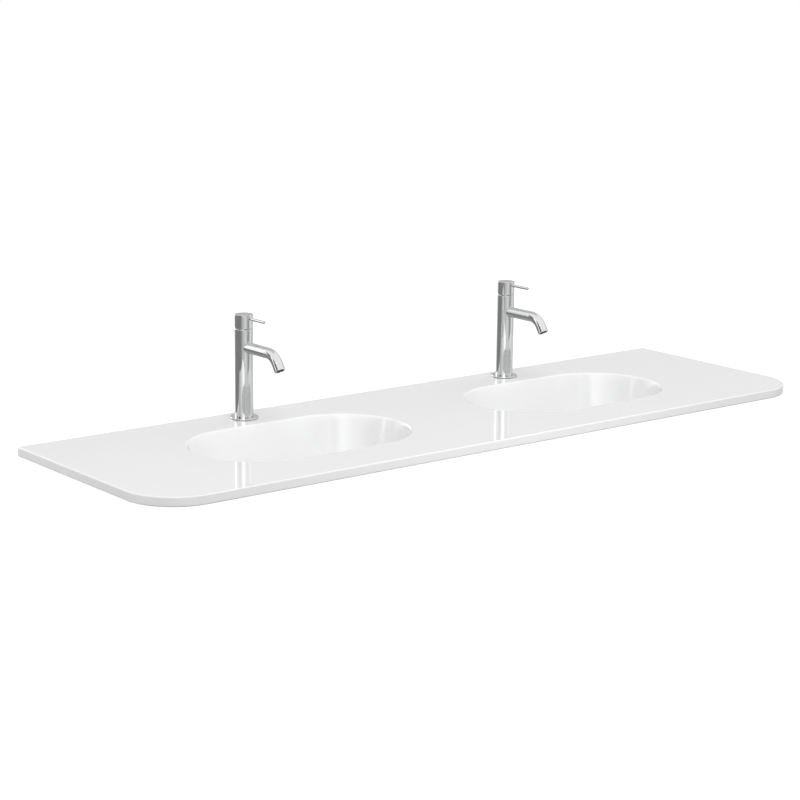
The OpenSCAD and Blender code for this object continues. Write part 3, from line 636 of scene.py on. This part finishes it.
# Tones that metal and glaze mirror instead of the white background: (azimuth in degrees, tone).
# They were fitted to the light levels that the photo shows in each mirrored direction, and nothing
# stands there. Azimuth 0 is the basin's right, 90 its back, and a tone of 1 is white.
LOW_TONES = [(50, 1.08), (60, 1.08), (72, 1.02), (90, 1.08), (98, 0.92), (108, 0.30), (195, 0.30),
             (230, 0.76), (256, 0.99), (270, 0.84), (292, 0.41), (326, 1.14), (350, 0.72), (30, 0.95)]
HIGH_TONES = [(45, 0.62), (70, 0.62), (80, 2.80), (106, 3.20), (113, 2.50), (119, 1.90), (126, 1.45),
              (131, 1.00), (137, 0.32), (146, 0.22), (152, 1.10), (157, 2.60), (162, 0.60), (168, 0.05),
              (178, 0.05), (188, 0.45), (200, 1.10), (215, 1.60), (223, 2.70), (237, 3.10), (243, 1.20),
              (249, 0.25), (258, 1.20), (271, 0.75), (286, 0.65), (296, 1.35), (308, 1.30), (330, 1.20),
              (352, 0.80)]
TOP_TONES = [(20, 1.25), (45, 0.80), (88, 0.78), (100, 1.06), (108, 1.18), (125, 1.25)]
UNDER_TONE = 0.39
# Heights of the mirrored direction (its z) over which each ring of tones goes over into the next
UNDER_TO_LOW, LOW_TO_HIGH, HIGH_TO_TOP = (-0.50, -0.36), (-0.12, 0.0), (0.40, 0.50)
# Strengths of the world: as light on dull surfaces, times the tones above, and as white background
FILL, MIRRORED, WHITE = 0.60, 1.0, 1.0
# Lamps: place and target in metres, width and height in metres, power in watts
LAMPS = {
    "key": ((-1.1, -2.5, 4.3), (0, 0, 0), (2.8, 2.8), 111),
    "side": ((2.6, 0.9, 2.2), (0, 0, 0), (1.6, 2.4), 14),
    "front": ((0.02, -0.9, 0.06), (0.02, 0, 0.01), (0.3, 0.08), 0.90),
    "left": ((-1.6, 0.4, 0.06), (-0.75, 0, 0.01), (0.5, 0.08), 1.85),
}
# Floor, in metres and tones: reach from the basin, height, and how far it goes in under the basin, in
# millimetres. The camera sees the seen tone and the glow, and dull surfaces get light from the plain tone.
# Mirrored rays don't meet the floor, so that Is Glossy Ray changes nothing in its material.
FLOOR = {"reach": 14.0, "z": -0.0006, "under": 10.0, "plain": 0.45, "seen": 0.42, "glow": 0.80}


def toned_round(tree, direction, tones):
    """Grey tones by azimuth, seen from the middle of the studio."""
    turn = tree.nodes.new("ShaderNodeTexGradient")
    turn.gradient_type = "RADIAL"
    tree.links.new(direction, turn.inputs["Vector"])
    node = tree.nodes.new("ShaderNodeValToRGB")
    ramp = node.color_ramp
    ramp.interpolation = "EASE"
    stops = sorted(((azimuth / 360 + 0.5) % 1, tone) for azimuth, tone in tones)
    (a, low), (b, high) = stops[-1], stops[0]
    seam = low + (high - low) * (1 - a) / (1 - a + b)
    stops = [(0.0, seam)] + stops + [(1.0, seam)]
    for i, (pos, tone) in enumerate(stops):
        if 0 < i < len(stops) - 1:
            stop = ramp.elements.new(pos)
        else:
            stop = ramp.elements[0 if i == 0 else -1]
        stop.position = pos
        stop.color = (tone, tone, tone, 1)
    tree.links.new(turn.outputs["Fac"], node.inputs["Fac"])
    return node.outputs["Color"]


def blended(tree, height, span, low, high):
    """low where the height is under the span, high where it is over it."""
    share = tree.nodes.new("ShaderNodeMapRange")
    share.interpolation_type = "SMOOTHSTEP"
    share.inputs["From Min"].default_value, share.inputs["From Max"].default_value = span
    tree.links.new(height, share.inputs["Value"])
    mix = tree.nodes.new("ShaderNodeMix")
    mix.data_type = "RGBA"
    tree.links.new(share.outputs["Result"], mix.inputs["Factor"])
    for name, value in (("A", low), ("B", high)):
        socket = next(i for i in mix.inputs if i.name == name and i.type == "RGBA")
        if isinstance(value, float):
            socket.default_value = (value, value, value, 1)
        else:
            tree.links.new(value, socket)
    return next(o for o in mix.outputs if o.type == "RGBA")


def make_world():
    world = bpy.data.worlds.new("studio")
    scene.world = world
    world.use_nodes = True
    tree = world.node_tree
    tree.nodes.clear()
    direction = tree.nodes.new("ShaderNodeTexCoord").outputs["Generated"]
    split = tree.nodes.new("ShaderNodeSeparateXYZ")
    tree.links.new(direction, split.inputs["Vector"])
    low, high, top = (toned_round(tree, direction, t) for t in (LOW_TONES, HIGH_TONES, TOP_TONES))
    low = blended(tree, split.outputs["Z"], UNDER_TO_LOW, UNDER_TONE, low)
    sides = blended(tree, split.outputs["Z"], LOW_TO_HIGH, low, high)
    mirrored = blended(tree, split.outputs["Z"], HIGH_TO_TOP, sides, top)
    grounds = []
    for strength in (FILL, MIRRORED, WHITE):
        node = tree.nodes.new("ShaderNodeBackground")
        node.inputs["Color"].default_value = (1, 1, 1, 1)
        node.inputs["Strength"].default_value = strength
        grounds.append(node)
    tree.links.new(mirrored, grounds[1].inputs["Color"])
    shader = grounds[0].outputs[0]
    for ground, kinds in ((grounds[1], ["Is Glossy Ray"]),
                          (grounds[2], ["Is Camera Ray", "Is Transmission Ray"])):
        mix = tree.nodes.new("ShaderNodeMixShader")
        tree.links.new(ray_switch(tree, *kinds), mix.inputs["Fac"])
        tree.links.new(shader, mix.inputs[1])
        tree.links.new(ground.outputs[0], mix.inputs[2])
        shader = mix.outputs[0]
    out = tree.nodes.new("ShaderNodeOutputWorld")
    tree.links.new(shader, out.inputs["Surface"])


def make_floor():
    """A pale floor level with the basin's underside, cut out along the outline to show it from below."""
    far, height = FLOOR["reach"], FLOOR["z"]
    inner = plan(FLOOR["under"])
    verts = [(x * MM, y * MM, height) for x, y, _ in inner]
    verts += [(x * MM + far * d[0], y * MM + far * d[1], height) for x, y, d in inner]
    n = len(inner)
    faces = [(k, k + n, (k + 1) % n + n, (k + 1) % n) for k in range(n)]
    mesh = bpy.data.meshes.new("floor")
    mesh.from_pydata(verts, [], faces)
    obj = bpy.data.objects.new("floor", mesh)
    scene.collection.objects.link(obj)
    mat = bpy.data.materials.new("pale_floor")
    mat.use_nodes = True
    tree = mat.node_tree
    tree.nodes.clear()
    plain, seen = (tree.nodes.new("ShaderNodeBsdfDiffuse") for _ in range(2))
    for node, tone in ((plain, FLOOR["plain"]), (seen, FLOOR["seen"])):
        node.inputs["Color"].default_value = (tone, tone, tone, 1)
    glow = tree.nodes.new("ShaderNodeEmission")
    glow.inputs["Strength"].default_value = FLOOR["glow"]
    both = tree.nodes.new("ShaderNodeAddShader")
    mix = tree.nodes.new("ShaderNodeMixShader")
    out = tree.nodes.new("ShaderNodeOutputMaterial")
    tree.links.new(seen.outputs[0], both.inputs[0])
    tree.links.new(glow.outputs[0], both.inputs[1])
    kinds = ("Is Camera Ray", "Is Glossy Ray", "Is Transmission Ray")
    tree.links.new(ray_switch(tree, *kinds), mix.inputs["Fac"])
    tree.links.new(plain.outputs[0], mix.inputs[1])
    tree.links.new(both.outputs[0], mix.inputs[2])
    tree.links.new(mix.outputs[0], out.inputs["Surface"])
    mesh.materials.append(mat)
    obj.visible_glossy = False


def area_light(name, place, target, size, power):
    """A lamp that lights the object and isn't mirrored in it, as the world holds all mirrored tones."""
    data = bpy.data.lights.new(name, "AREA")
    data.shape = "RECTANGLE"
    data.size, data.size_y = size
    data.energy = power
    obj = bpy.data.objects.new(name, data)
    obj.location = place
    obj.rotation_euler = (Vector(target) - Vector(place)).to_track_quat("-Z", "Y").to_euler()
    obj.visible_camera = obj.visible_glossy = False
    scene.collection.objects.link(obj)


make_camera()
make_world()
make_floor()
for name, lamp in LAMPS.items():
    area_light(name, *lamp)
dress_frame()
make_top()
for side, s in SIDES:
    make_tap(side, s)
    make_plug(side, s)
